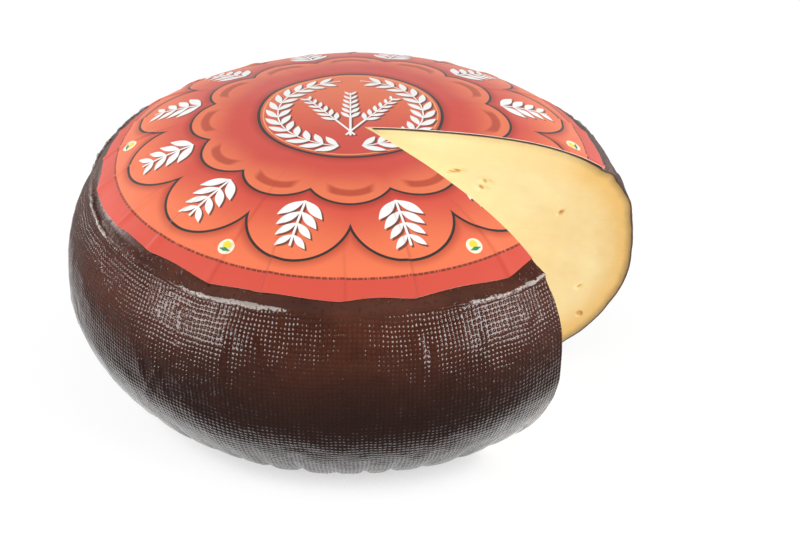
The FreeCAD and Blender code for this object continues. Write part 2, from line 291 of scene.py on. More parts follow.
class Section:
    """The wheel's half section, from the crown's middle over the side and in under the foot."""

    def __init__(self, wheel):
        turn = np.linspace(0.0, math.pi / 2, SECTION_STEPS)
        top_radius = wheel.wheel_radius * np.sin(turn) ** (2.0 / wheel.crown_power)
        low_radius = wheel.foot_radius + (wheel.wheel_radius - wheel.foot_radius) * np.cos(turn) ** (
            2.0 / wheel.belly_power
        )
        low_height = wheel.waist_height * (1.0 - np.sin(turn) ** (2.0 / wheel.belly_power))
        foot_radius = np.linspace(wheel.foot_radius, 0.0, FOOT_STEPS)
        self.radius = np.concatenate([top_radius, low_radius[1:], foot_radius[1:]])
        top_height, foot_height = crown_height(wheel, top_radius), np.zeros(FOOT_STEPS - 1)
        self.height = np.concatenate([top_height, low_height[1:], foot_height])
        steps = np.hypot(np.diff(self.radius), np.diff(self.height))
        self.run = np.concatenate([[0.0], np.cumsum(steps)])
        self.waist = self.run[SECTION_STEPS - 1]
        self.foot = self.run[2 * SECTION_STEPS - 2]
        self.end = self.run[-1]
        self.crest = float(self.run_at(wheel.lid_ridge_radius))

    def at(self, run):
        """Radius and height at this distance along the section, and its outward normal there."""
        radius, height = np.interp(run, self.run, self.radius), np.interp(run, self.run, self.height)
        ahead, behind = np.minimum(run + SLOPE_STEP, self.end), np.maximum(run - SLOPE_STEP, 0.0)
        across = np.interp(ahead, self.run, self.radius) - np.interp(behind, self.run, self.radius)
        down = np.interp(ahead, self.run, self.height) - np.interp(behind, self.run, self.height)
        size = np.hypot(across, down)
        return radius, height, -down / size, across / size

    def run_at(self, radius):
        """Distance along the crown at this radius."""
        return np.interp(radius, self.radius[:SECTION_STEPS], self.run[:SECTION_STEPS])


def surface(wheel, section, run, heading, fine=True):
    """Plan radius and height of the wheel's skin, at a distance along the section and a heading."""
    radius, height, radial, upward = section.at(run)
    over = (height - wheel.waist_height) / (wheel.wheel_height - wheel.waist_height)
    swell = np.sin(math.pi * np.clip(over, 0, 1)) ** 2
    proud = wheel.shoulder_swell * swell * (1.0 + waves(SHOULDER_WAVES, heading))
    off_crest = np.clip(2 * np.abs(run - section.crest) / wheel.lid_ridge_width, 0, 1)
    proud = proud + wheel.lid_ridge_height * np.cos(math.pi / 2 * off_crest) ** 2
    above = run < section.waist
    heave = wheel.crown_swell * np.sin(math.pi * np.clip(radius / wheel.wheel_radius, 0, 1)) ** 2
    height = height + np.where(above, heave * waves(CROWN_WAVES, heading), 0.0)
    bulge = wheel.lobe_height * np.maximum(0.0, np.sin(math.pi * height / wheel.wheel_height))
    radius = radius + bulge * waves(SIDE_LOBES, heading)
    if fine:
        proud = proud + relief(wheel, section, run, heading)
    return radius + proud * radial, np.maximum(height + proud * upward, 0.0)


def lid_lip(section, heading, along):
    """Where the thin lip at the lid's rim runs, and its height in mm: broken and uneven."""
    lip = section.crest + 0.3 * MM + 0.9 * MM * ripples(along, 46 * MM, seed=5)
    lip = lip + 0.30 * MM * ripples(along, 7 * MM, seed=6)
    size = np.full_like(heading, WORN_LIP)
    for middle, spread in LIP_ARCS:
        off = np.abs(turn_from(math.radians(middle), heading))
        whole = 1.0 - smooth_step(off, math.radians(spread - 3), math.radians(spread + 4))
        size = np.maximum(size, WHOLE_LIP * whole)
    size = size * (0.80 + 0.42 * ripples(along, 9 * MM, seed=7) + 0.36 * ripples(along, 3.6 * MM, seed=8))
    return lip, np.clip(size, 0.0, 1.0)


def relief(wheel, section, run, heading):
    """Finer unevenness of the rind, outwards: dents, lid line, cloth folds round the foot and creases."""
    girth = heading * wheel.wheel_radius
    run = np.broadcast_to(run, girth.shape)
    places, along = join(girth, run), join(girth, np.zeros_like(girth))
    crest, foot = section.crest, section.foot
    dents = 0.28 * MM * ripples(places, 34 * MM, seed=3)
    dents = dents + 0.09 * MM * ripples(places, 9 * MM, seed=4, octaves=2)
    total = rise_and_fall(run, crest - 1 * MM, crest + 6 * MM, foot - 6 * MM, foot) * dents
    lip, size = lid_lip(section, heading, along)
    total = total + size * MM * bell(run - lip, 0.55 * MM)
    # smooth band inside the lip, pressed in a little
    band = rise_and_fall(run, lip - 5.5 * MM, lip - 4.2 * MM, lip - 1.6 * MM, lip - 0.5 * MM)
    total = total - 0.18 * MM * band
    # folds of the press cloth gathered round the foot
    phase = heading * FOOT_FOLDS / (2 * math.pi) + 0.28 * ripples(along, 60 * MM, seed=9)
    groove = bell(phase % 1.0 - 0.5, 0.15)
    where = rise_and_fall(run, foot - 58 * MM, foot - 34 * MM, foot - 6 * MM, foot)
    strength = np.clip(0.75 + 0.45 * ripples(along, 31 * MM, seed=10), 0.25, 1.3)
    total = total + (0.25 - 1.25 * groove) * MM * where * strength
    # creases down the side, where the cloth lay in a fold
    chance = np.random.default_rng(21)
    half_girth = math.pi * wheel.wheel_radius
    for _ in range(CREASES):
        middle = chance.uniform(0.0, 2 * math.pi) * wheel.wheel_radius
        top = crest + chance.uniform(1.0, 30.0) * MM
        end = top + chance.uniform(8.0, 26.0) * MM
        lean = chance.uniform(-0.45, 0.45)
        depth = chance.uniform(0.25, 0.60) * MM
        line = middle + lean * (run - top) + 0.9 * MM * np.sin((run - top) / (5.5 * MM) + middle / MM)
        off = (girth - line + half_girth) % (2 * half_girth) - half_girth
        fold = bell(off, 1.5 * MM) - 0.8 * bell(off - 2.4 * MM, 1.3 * MM)
        total = total + depth * fold * rise_and_fall(run, top, top + 3 * MM, end - 5 * MM, end)
    return total


class Fan:
    """Columns that leave the apex and spread from the far cut round to the near one, bowed like the cuts."""

    def __init__(self, cut, count):
        self.apex = np.array([cut.apex_right, -cut.apex_front])
        part = np.linspace(0.0, 1.0, count)
        self.angle = cut.far_angle + (cut.near_angle + 2 * math.pi - cut.far_angle) * part
        by_far, by_near = 1.0 - smooth_step(part, 0.0, 0.25), smooth_step(part, 0.75, 1.0)
        self.bend = by_far / cut.far_bend + by_near / cut.near_bend

    def point(self, column, reach):
        """Plan point at this chord length from the apex."""
        turn = self.angle[column] + np.arcsin(reach * self.bend[column] / 2)
        return self.apex[0] + reach * np.cos(turn), self.apex[1] + reach * np.sin(turn)

    def reach(self, radius):
        """Chord lengths from the apex at which every column meets a ring of this radius."""
        reach = np.full_like(self.angle, radius)
        for _ in range(8):
            turn = self.angle + np.arcsin(reach * self.bend / 2)
            inward = self.apex[0] * np.cos(turn) + self.apex[1] * np.sin(turn)
            reach = -inward + np.sqrt(inward**2 + radius**2 - self.apex @ self.apex)
        return reach


def rings_over(fan, section, runs):
    """Plan radius and heading for rows of the fan at these distances along the section."""
    columns = np.arange(len(fan.angle))
    rows = []
    for run in runs:
        radius = float(np.interp(run, section.run, section.radius))
        x, y = fan.point(columns, fan.reach(radius))
        rows.append((np.full(len(columns), run), np.arctan2(y, x)))
    return rows


def hub_rows(fan, section, count, under=False):
    """Rows between the apex and the first ring, as distances along the section and headings."""
    columns = np.arange(len(fan.angle))
    edge = fan.reach(HUB_RADIUS)
    rows = []
    for k in range(1, count):
        x, y = fan.point(columns, edge * k / count)
        radius = np.hypot(x, y)
        run = section.end - radius if under else section.run_at(radius)
        rows.append((run, np.arctan2(y, x)))
    return rows[::-1] if under else rows


def evenly(first, last, step):
    """Distances from first up to but without last, about this far apart."""
    count = max(1, round((last - first) / step))
    return [first + (last - first) * i / count for i in range(count)]


# ---------------------------------------------------------------- meshes


def new_piece(name, places, faces, materials, indices=None):
    """A smooth-shaded mesh object in the frame."""
    mesh = bpy.data.meshes.new(name)
    mesh.from_pydata([tuple(p) for p in places], [], faces)
    for material in materials:
        mesh.materials.append(material)
    if indices is not None:
        mesh.polygons.foreach_set("material_index", np.asarray(indices, dtype=np.int32))
    mesh.polygons.foreach_set("use_smooth", np.ones(len(mesh.polygons), dtype=bool))
    mesh.update()
    piece = bpy.data.objects.new(name, mesh)
    bpy.context.collection.objects.link(piece)
    return piece


def give(mesh, **layers):
    """Stores numbers or vectors on the mesh's points for its materials."""
    for name, values in layers.items():
        values = np.asarray(values, dtype=np.float32)
        kind, key = ("FLOAT", "value") if values.ndim == 1 else ("FLOAT_VECTOR", "vector")
        mesh.attributes.new(name, kind, "POINT").data.foreach_set(key, values.ravel())


def unwound(heading):
    """Headings counted on from the far cut, which lies a little short of zero, without a jump at the back."""
    return np.where(heading < -0.4, heading + 2 * math.pi, heading)


def apex_on_skin(wheel, section, fan, fine=True):
    """Where the cuts' meeting line leaves the skin: distance along the section, heading and height."""
    run = section.run_at(float(np.hypot(*fan.apex)))
    heading = math.atan2(fan.apex[1], fan.apex[0])
    _, height = surface(wheel, section, np.array([run]), np.array([heading]), fine)
    return run, heading, float(height[0])


def skin_rows(section, fan):
    """The rows of the whole skin between the two apex ends, top first."""
    first, cover = float(section.run_at(HUB_RADIUS)), float(section.run_at(0.086))
    lid, waist, foot, last = section.crest, section.waist, section.foot, section.end - HUB_RADIUS
    stretches = (
        (first, cover, 3.2), (cover, lid - 3 * MM, 1.1), (lid - 3 * MM, lid + 3 * MM, 0.42),
        (lid + 3 * MM, waist, 1.15), (waist, foot - 36 * MM, 1.3), (foot - 36 * MM, foot, 1.1),
        (foot, last, 4.0),
    )
    runs = [run for start, end, step in stretches for run in evenly(start, end, step * MM)] + [last]
    crown, foot_hub = hub_rows(fan, section, HUB_ROWS), hub_rows(fan, section, FOOT_HUB_ROWS, under=True)
    return crown + rings_over(fan, section, runs) + foot_hub


def cut_wall(wheel, fan, side, column, outline, rim):
    """One cut wall inside its outline, ring by ring to the middle: its places, distances from the rind,
    hollows and places on the flat wall. The first points of the outline, as many as rim, follow the rind."""
    reach, height = np.hypot(outline[:, 0] - fan.apex[0], outline[:, 1] - fan.apex[1]), outline[:, 2]
    middle = (0.5 * reach.max(), 0.5 * wheel.wheel_height)
    parts = np.linspace(1.0, 0.0, WALL_RINGS + 1)[1:-1, None]
    from_rim = join(reach[:rim], height[:rim])
    reach = np.append(middle[0] + (reach - middle[0]) * parts, middle[0])
    height = np.append(middle[1] + (height - middle[1]) * parts, middle[1])
    near_rind = distance_to(join(reach, height), from_rim)
    x, y = fan.point(np.full(len(reach), column), reach)
    turn = fan.angle[column] + reach * fan.bend[column]
    out = 1.0 if side == "near" else -1.0
    sink, hollow = wall_relief(reach, height, side)
    fade = smooth_step(np.minimum(near_rind, reach), 0.0, 2.5 * MM)
    x = x - out * np.sin(turn) * sink * fade
    y = y + out * np.cos(turn) * sink * fade
    apart = np.full(len(x), 0.0 if side == "far" else 0.5)  # so that the two walls don't look alike
    return join(x, y, height), near_rind, hollow, join(reach, height, apart)


def wall_faces(outline, start, mirrored):
    """Faces of a cut wall, ring by ring from its outline to the point in its middle."""
    around = len(outline)
    centre = start + (WALL_RINGS - 1) * around
    rings = [outline, *np.arange(start, centre).reshape(-1, around).tolist()]
    faces = []
    for outer, inner in zip(rings, rings[1:]):
        faces += [(outer[m - 1], outer[m], inner[m], inner[m - 1]) for m in (*range(1, around), 0)]
    faces += [(rings[-1][m - 1], rings[-1][m], centre) for m in (*range(1, around), 0)]
    return [face[::-1] for face in faces] if mirrored else faces


def dressed_cheese(wheel, cut, materials):
    """The cheese in its rind: one closed mesh of skin and two cut walls."""
    section, fan = Section(wheel), Fan(cut, COLUMNS)
    rows = skin_rows(section, fan)
    runs = np.array([np.broadcast_to(run, heading.shape) for run, heading in rows])
    turns = np.array([unwound(heading) for _, heading in rows])
    places = []
    for (run, heading), turn in zip(rows, turns):
        radius, height = surface(wheel, section, run, turn)
        places.append(in_space(radius, heading, height))
    places = np.array(places)
    count, base = len(rows), len(rows) * COLUMNS
    levels = np.linspace(apex_on_skin(wheel, section, fan)[2], 0.0, APEX_ROWS)
    apex = join(np.full(APEX_ROWS, fan.apex[0]), np.full(APEX_ROWS, fan.apex[1]), levels)

    faces = []
    for j in range(COLUMNS - 1):
        low = base - COLUMNS + j
        faces += [(base, j, j + 1), (base + APEX_ROWS - 1, low + 1, low)]
    for k in range(count - 1):
        for a in range(k * COLUMNS, (k + 1) * COLUMNS - 1):
            faces.append((a, a + COLUMNS, a + COLUMNS + 1, a + 1))
    rind_faces = len(faces)
    total = base + APEX_ROWS
    points = [places.reshape(-1, 3), apex]
    depths, hollows = [np.zeros(base), np.full(APEX_ROWS, 0.03)], [np.zeros(total)]
    on_wall = [np.zeros((total, 3))]
    for side, column in (("far", 0), ("near", COLUMNS - 1)):
        outline = [*range(column, base, COLUMNS), *range(base + APEX_ROWS - 1, base - 1, -1)]
        spots = np.concatenate([places[:, column], apex[::-1]])
        wall = cut_wall(wheel, fan, side, column, spots, count)
        for kept, part in zip((points, depths, hollows, on_wall), wall):
            kept.append(part)
        faces += wall_faces(outline, total, side == "near")
        total += len(wall[0])
    indices = np.repeat([0, 1], [rind_faces, len(faces) - rind_faces])
    piece = new_piece("cheese_in_its_rind", np.concatenate(points), faces, materials, indices)
    walls = np.zeros(total - base)
    run, turn = np.append(runs, walls), np.append(turns, walls)
    girth = turn * wheel.wheel_radius
    along = join(girth, np.zeros_like(girth))
    lip, size = lid_lip(section, turn, along)
    breadth = (0.70 + 0.26 * ripples(along, 7 * MM, seed=14)) * MM
    give(piece.data, girth=girth, run=run, lip=size * bell(run - lip, breadth), past_lip=(run - lip) / MM,
         rind_depth=np.concatenate(depths), hollow=np.concatenate(hollows),
         wall_place=np.concatenate(on_wall))
    close_up(piece, 52.0)
    return piece


def distance_to(points, line):
    """Distance from each point to a line of short runs."""
    start, step = line[:-1], np.diff(line, axis=0)
    size = np.maximum((step**2).sum(axis=1), 1e-18)
    nearest = np.full(len(points), np.inf)
    for k in range(len(step)):
        part = np.clip(((points - start[k]) @ step[k]) / size[k], 0.0, 1.0)
        foot = start[k] + part[:, None] * step[k]
        nearest = np.minimum(nearest, np.hypot(*(points - foot).T))
    return nearest


def wall_relief(reach, height, side):
    """How far a cut wall stands out, with drag of the knife and small openings, and where these are."""
    seed = WALL_SEEDS[side]
    places, drag = join(reach, height), join(reach * 0.25 + height, height * 0)
    out = 0.22 * MM * ripples(places, 45 * MM, seed)
    out = out + 0.05 * MM * ripples(places, 9 * MM, seed + 1, octaves=2)
    out = out + 0.05 * MM * ripples(drag, 7 * MM, seed + 2)
    hollows = np.zeros_like(out)
    for right, up, long, wide, lean in OPENINGS[side]:
        x, y = reach - right * MM, height - up * MM
        along = x * math.cos(lean) + y * math.sin(lean)
        across = y * math.cos(lean) - x * math.sin(lean)
        hole = np.sqrt((along / (long / 2 * MM)) ** 2 + (across / (wide / 2 * MM)) ** 2)
        hollow = 1.0 - smooth_step(hole, 0.45, 1.30)
        out = out - OPENING_DEPTH * min(1.0, wide / 2.0) * hollow
        hollows = np.maximum(hollows, hollow)
    return out, hollows


def close_up(piece, sharp_angle):
    """Keeps the knife's edges crisp, turns all faces outwards and stops if the mesh has a gap."""
    piece.data.set_sharp_from_angle(angle=math.radians(sharp_angle))
    work = bmesh.new()
    work.from_mesh(piece.data)
    bmesh.ops.recalc_face_normals(work, faces=work.faces)
    gaps = sum(1 for edge in work.edges if len(edge.link_faces) != 2)
    work.to_mesh(piece.data)
    work.free()
    if gaps:
        raise RuntimeError(f"{piece.name} has {gaps} open edges")


def paper_edge(label, heading):
    """Radius of the paper's edge at these headings: wandering, and nearly straight from pleat to pleat."""
    turns = np.sort([pleat[0] for pleat in pleat_table(label)])
    turns = np.concatenate([turns, [turns[0] + 2 * math.pi]])
    at = turns[0] + (heading - turns[0]) % (2 * math.pi)
    k = np.clip(np.searchsorted(turns, at, side="right") - 1, 0, len(turns) - 2)
    gap = turns[k + 1] - turns[k]
    part = (at - turns[k]) / gap
    straight = label.label_radius * gap**2 / 2 * part * (1 - part)
    return label.label_radius + 0.3 * MM - 0.8 * straight + label.label_wave * waves(EDGE_WAVES, heading)


def pleat_table(label):
    """Radial folds of the paper: heading, height, breadth, where each starts and which way it lies."""
    chance = np.random.default_rng(8)
    table = []
    for k in range(label.pleats):
        heading = (k + chance.uniform(-0.33, 0.33)) / label.pleats * 2 * math.pi
        table.append((heading, chance.uniform(0.30, 0.75) * MM, chance.uniform(1.6, 3.2) * MM,
                      chance.uniform(0.45, 0.80), chance.choice((-1.0, 1.0))))
    return table


def paper_lift(label, radius, heading):
    """How far the paper stands off the rind, and how strong the painted shade line at the foot of a pleat is.
    """
    part = radius / label.label_radius
    folds = np.zeros_like(heading)
    places = join(radius * np.cos(heading), radius * np.sin(heading))
    lift = 0.05 * MM * (1.0 + ripples(places, 18 * MM, seed=31, octaves=2)) * smooth_step(part, 0.0, 0.3)
    for at, height, breadth, start, way in pleat_table(label):
        across = turn_from(at, heading) * radius * way + 0.8 * MM * np.sin(part * 9.0 + at * 7)
        ridge = np.where(across < 0, bell(across, breadth), bell(across, 0.35 * breadth))
        lift = lift + height * ridge * smooth_step(part, start, 1.0)
        foot = bell(across - 0.8 * MM, 0.45 * MM) * smooth_step(part, start - 0.1, start + 0.25)
        folds = np.maximum(folds, foot * height / (0.75 * MM))
    around = join(heading * label.label_radius, np.zeros_like(heading))
    flutter = np.clip(ripples(around, 24 * MM, seed=33), 0.0, 1.0)
    return lift + smooth_step(part, 0.93, 1.0) * 0.35 * MM * flutter, folds


def printed_paper(wheel, cut, label, materials):
    """The printed disc: a thin closed sheet on the crown, cut flush with the cheese."""
    section, fan = Section(wheel), Fan(cut, PAPER_COLUMNS)
    columns = np.arange(PAPER_COLUMNS)
    edge = fan.reach(label.label_radius)
    x, y = fan.point(columns, edge)
    edge = edge + (paper_edge(label, unwound(np.arctan2(y, x))) - label.label_radius)
    parts = np.concatenate([np.linspace(first, last, steps)[1:] for first, last, steps in PAPER_ROWS])
    top, bottom, flat, folds = [], [], [], []
    for part in parts:
        x, y = fan.point(columns, edge * part)
        radius, heading = np.hypot(x, y), unwound(np.arctan2(y, x))
        run = section.run_at(radius)
        skin_radius, skin_height = surface(wheel, section, run, heading, fine=False)
        _, _, radial, upward = section.at(run)
        lift, fold = paper_lift(label, radius, heading)
        folds.append(fold)
        flat.append(in_space(run, heading, np.zeros(PAPER_COLUMNS)))
        for rows, off in ((top, lift + label.paper_thickness), (bottom, lift + GLUE)):
            rows.append(in_space(skin_radius + off * radial, heading, skin_height + off * upward))
    run, heading, level = apex_on_skin(wheel, section, fan, fine=False)
    tips = np.array([[*fan.apex, level + label.paper_thickness], [*fan.apex, level + GLUE]])
    under = len(parts) * PAPER_COLUMNS  # from a point of the top to the one under it
    last_row = under - PAPER_COLUMNS
    top_tip, low_tip = 2 * under, 2 * under + 1
    printed, bare = [], []
    for j in range(PAPER_COLUMNS - 1):
        printed.append((top_tip, j, j + 1))
        bare.append((low_tip, under + j + 1, under + j))
        for a in range(j, last_row, PAPER_COLUMNS):
            b = a + PAPER_COLUMNS
            printed.append((a, b, b + 1, a + 1))
            bare.append((under + a, under + a + 1, under + b + 1, under + b))
        rim = last_row + j
        bare.append((rim, under + rim, under + rim + 1, rim + 1))
    for j, way in ((0, 1), (PAPER_COLUMNS - 1, -1)):
        bare.append((top_tip, low_tip, under + j, j)[::way])
        for a in range(j, last_row, PAPER_COLUMNS):
            b = a + PAPER_COLUMNS
            bare.append((a, under + a, under + b, b)[::way])
    indices = np.repeat([0, 1], [len(printed), len(bare)])
    points = np.concatenate([*top, *bottom, tips])
    piece = new_piece("printed_paper_disc", points, printed + bare, materials, indices)
    flat_tips = [in_space(run, heading, 0.0)] * 2
    give(piece.data, print_place=np.concatenate([*flat, *flat, flat_tips]),
         fold=np.concatenate([*folds, *folds, [0.0, 0.0]]))
    close_up(piece, 60.0)
    return piece


# ---------------------------------------------------------------- shader wiring


def operation(name, swapped=False):
    """A method of Field that adds a Math node, with the field as the first value or as the second."""
    return lambda self, other: self.wiring.math(name, *((other, self) if swapped else (self, other)))


class Field:
    """A number that varies over a surface, as a shader socket that can be added, multiplied and so on."""

    def __init__(self, wiring, socket):
        self.wiring, self.socket = wiring, socket

    __add__ = __radd__ = operation("ADD")
    __sub__, __rsub__ = operation("SUBTRACT"), operation("SUBTRACT", swapped=True)
    __mul__ = __rmul__ = operation("MULTIPLY")
    __truediv__, __rtruediv__ = operation("DIVIDE"), operation("DIVIDE", swapped=True)


class Wiring:
    """Adds nodes to a material's or a group's tree and links them."""

    def __init__(self, tree):
        self.tree = tree

    def node(self, kind, **settings):
        """A new node with these settings."""
        node = self.tree.nodes.new(kind)
        for name, value in settings.items():
            setattr(node, name, value)
        return node

    def feed(self, node, **values):
        """Links fields to a node's inputs or sets plain values, by the inputs' names with _ for a space."""
        for name, value in values.items():
            self.fill(node.inputs[name.replace("_", " ")], value)

    def fill(self, socket, value):
        """Links a field or sets a plain value."""
        if isinstance(value, Field):
            self.tree.links.new(value.socket, socket)
        elif socket.type == "RGBA":
            socket.default_value = (*value, 1.0)
        else:
            socket.default_value = value

    def chain(self, node, values, output=0):
        """Fills a node's first inputs in order and returns one of its outputs."""
        for socket, value in zip(node.inputs, values):
            self.fill(socket, value)
        return Field(self, node.outputs[output])

    def math(self, name, *values):
        """A Math node."""
        return self.chain(self.node("ShaderNodeMath", operation=name), values)

    def size(self, value):
        """A number without its sign."""
        return self.math("ABSOLUTE", value)

    def most(self, first, second):
        """The greater of two numbers."""
        return self.math("MAXIMUM", first, second)

    def span(self, x, y):
        """Distance of a flat place from the origin."""
        return self.math("SQRT", x * x + y * y)

    def ramp(self, value, low, high, first=0.0, last=1.0):
        """Smooth change from first to last while value goes from low to high."""
        node = self.node("ShaderNodeMapRange", interpolation_type="SMOOTHSTEP")
        return self.chain(node, (value, low, high, first, last), "Result")

    def mix(self, part, first, second):
        """A colour between two others."""
        node = self.node("ShaderNodeMix", data_type="RGBA", clamp_factor=True)
        for at, value in ((0, part), (6, first), (7, second)):  # the factor and the two colours
            self.fill(node.inputs[at], value)
        return Field(self, node.outputs[2])

    def noise(self, place, scale, detail=2.0, roughness=0.5, distortion=0.0, seed=0.0):
        """Noise from 0 to 1, moved along its fourth axis by the seed."""
        node = self.node("ShaderNodeTexNoise", noise_dimensions="4D")
        self.feed(node, Vector=place, W=seed, Scale=scale, Detail=detail, Roughness=roughness,
                  Distortion=distortion)
        return Field(self, node.outputs["Fac"])

    def attribute(self, name, output="Fac"):
        """A number or vector stored on the mesh."""
        return Field(self, self.node("ShaderNodeAttribute", attribute_name=name).outputs[output])

    def coordinate(self, output="Object"):
        """The place on the object, or another texture coordinate."""
        return Field(self, self.node("ShaderNodeTexCoord").outputs[output])

    def place(self, x, y, z=0.0):
        """A vector from its parts."""
        return self.chain(self.node("ShaderNodeCombineXYZ"), (x, y, z))

    def parts(self, vector):
        """A vector's three numbers."""
        node = self.node("ShaderNodeSeparateXYZ")
        self.chain(node, (vector,))
        return [Field(self, socket) for socket in node.outputs]

    def bump(self, height, distance):
        """A normal bumped by a height that is counted in this distance."""
        node = self.node("ShaderNodeBump")
        self.feed(node, Height=height, Distance=distance)
        return Field(self, node.outputs["Normal"])

    def use(self, group, **values):
        """Places a node group with these inputs and returns its outputs by name."""
        node = self.node("ShaderNodeGroup", node_tree=group)
        self.feed(node, **values)
        return {socket.name: Field(self, socket) for socket in node.outputs}


def new_group(name, inputs, outputs, build):
    """A shader node group that takes a place and the numbers named in inputs, with their defaults. build gets
    its wiring, the place and the numbers by name, and returns the numbers that the group puts out."""
    if name in bpy.data.node_groups:
        return bpy.data.node_groups[name]
    tree = bpy.data.node_groups.new(name, "ShaderNodeTree")
    tree.interface.new_socket("Place", in_out="INPUT", socket_type="NodeSocketVector")
    for title, default in inputs.items():
        socket = tree.interface.new_socket(title, in_out="INPUT", socket_type="NodeSocketFloat")
        socket.default_value = default
    for title in outputs:
        tree.interface.new_socket(title, in_out="OUTPUT", socket_type="NodeSocketFloat")
    wiring = Wiring(tree)
    source, target = wiring.node("NodeGroupInput"), wiring.node("NodeGroupOutput")
    given = {title: Field(wiring, source.outputs[title]) for title in ("Place", *inputs)}
    wiring.feed(target, **build(wiring, given.pop("Place"), given))
    return tree


def new_material(name):
    """A material with one Principled shader, and its wiring."""
    material = bpy.data.materials.new(name)
    material.use_nodes = True
    tree = material.node_tree
    return material, Wiring(tree), tree.nodes["Principled BSDF"]


# ---------------------------------------------------------------- shared effects


def cloth_marks():
    """Marks of a woven press cloth: round bumps between two sets of threads, pulled askew in places."""

    def build(w, place, given):
        def pull(scale, seed, reach):
            return (w.noise(place, scale, detail=1.0, seed=seed) - 0.5) * reach

        def crests(at):
            return w.math("COSINE", at / given["Pitch"] * (2 * math.pi)) * 0.5 + 0.5

        u, v, _ = w.parts(place)
        across = crests(u + pull(28.0, 3.0, 0.004) + pull(170.0, 5.0, 0.0012))
        along = crests(v + pull(33.0, 9.0, 0.004) + pull(240.0, 13.0, 0.0012))
        size = w.noise(place, 420.0, detail=0.0, seed=2.0)
        return {"Height": w.math("POWER", across * along, 0.85) * (size * 1.3 + 0.35)}

    return new_group("Cloth Marks", {"Pitch": 0.00155}, ("Height",), build)


def blotches():
    """Soft uneven patches in two sizes, from 0 to 1."""

    def build(w, place, given):
        wide = w.noise(place, given["Scale"], detail=3.0, roughness=0.6, distortion=0.4, seed=1.0)
        fine = w.noise(place, given["Scale"] * 6.0, seed=7.0)
        return {"Patches": w.ramp(wide * 0.75 + fine * 0.25, 0.34, 0.66)}

    return new_group("Blotches", {"Scale": 20.0}, ("Patches",), build)


def leaf_spray():
    """A stem along Y with pairs of pointed leaves, as a mask. Lengths are in the same unit as the place."""

    def build(w, place, given):
        x, y, _ = w.parts(place)
        side, leaf_length = w.size(x), given["Leaf Length"]
        slant_sin, slant_cos = w.math("SINE", given["Slant"]), w.math("COSINE", given["Slant"])
        step = w.math("FLOOR", y / given["Pitch"])
        on_stem = w.math("GREATER_THAN", y, 0.0) * w.math("LESS_THAN", y, given["Length"] * 1.08)
        spray = (given["Stem"] - side) * on_stem
        for back in (0.0, 1.0, 2.0):  # a leaf may reach past the next two pairs
            cell = step - back
            start = cell * given["Pitch"]
            size = leaf_length * (1.0 - start / given["Length"] * given["Taper"])
            inside = w.math("GREATER_THAN", cell, -0.5) * w.math("LESS_THAN", start, given["Length"])
            up = y - start
            along = side * slant_sin + up * slant_cos
            across = w.size(side * slant_cos - up * slant_sin)
            arch = w.math("SINE", w.math("MINIMUM", w.most(along / size, 0.0), 1.0) * math.pi)
            spray = w.most(spray, (arch * given["Leaf Width"] * (size / leaf_length) - across) * inside)
        return {"Mask": w.ramp(spray, 0.0, 0.00018)}

    defaults = {name.replace("_", " "): value for name, value in SPRIG.items()}
    return new_group("Leaf Spray", defaults, ("Mask",), build)


def round_petals():
    """A ring of round petals: distance inside the nearest petal's edge, and the place across and along it."""

    def build(w, place, given):
        x, y, _ = w.parts(place)
        sector = (2 * math.pi) / given["Count"]
        angle = w.math("ARCTAN2", y, x) - given["Turn"]
        off = angle - w.math("ROUND", angle / sector) * sector
        far = w.span(x, y)
        across, along = far * w.math("SINE", off), far * w.math("COSINE", off) - given["Centre"]
        return {"Inside": given["Radius"] - w.span(across, along), "Across": across, "Along": along}

    return new_group("Round Petals", OUTER_PETALS, ("Inside", "Across", "Along"), build)


def white_motifs():
    """All the white parts of the print as one mask, laid down twice: for their shade and for themselves."""

    def build(w, place, given):
        spray = leaf_spray()
        petal = w.use(round_petals(), Place=place, **OUTER_PETALS)
        mask = w.use(spray, Place=w.place(petal["Across"], petal["Along"] + 0.0075), **SPRIG)["Mask"]
        x, y, _ = w.parts(place)
        along = w.size(w.math("ARCTAN2", x, y * -1.0)) * WREATH_RADIUS - 0.004
        wreath = w.use(spray, Place=w.place(w.span(x, y) - WREATH_RADIUS, along), **WREATH)["Mask"]
        mask = w.most(mask, wreath)
        up = y + 0.0160
        for lean in (-0.55, 0.0, 0.55):
            across = x * math.cos(lean) - up * math.sin(lean)
            along = x * math.sin(lean) + up * math.cos(lean)
            ear = w.use(spray, Place=w.place(across, along - 0.010), **EAR)["Mask"]
            stalk = w.ramp(w.size(across), 0.00035, 0.0005, 1.0, 0.0)
            stalk = stalk * w.math("GREATER_THAN", along, -0.003) * w.math("LESS_THAN", along, 0.011)
            mask = w.most(mask, w.most(ear, stalk))
        return {"Mask": mask}

    return new_group("White Motifs", {}, ("Mask",), build)


# ---------------------------------------------------------------- materials


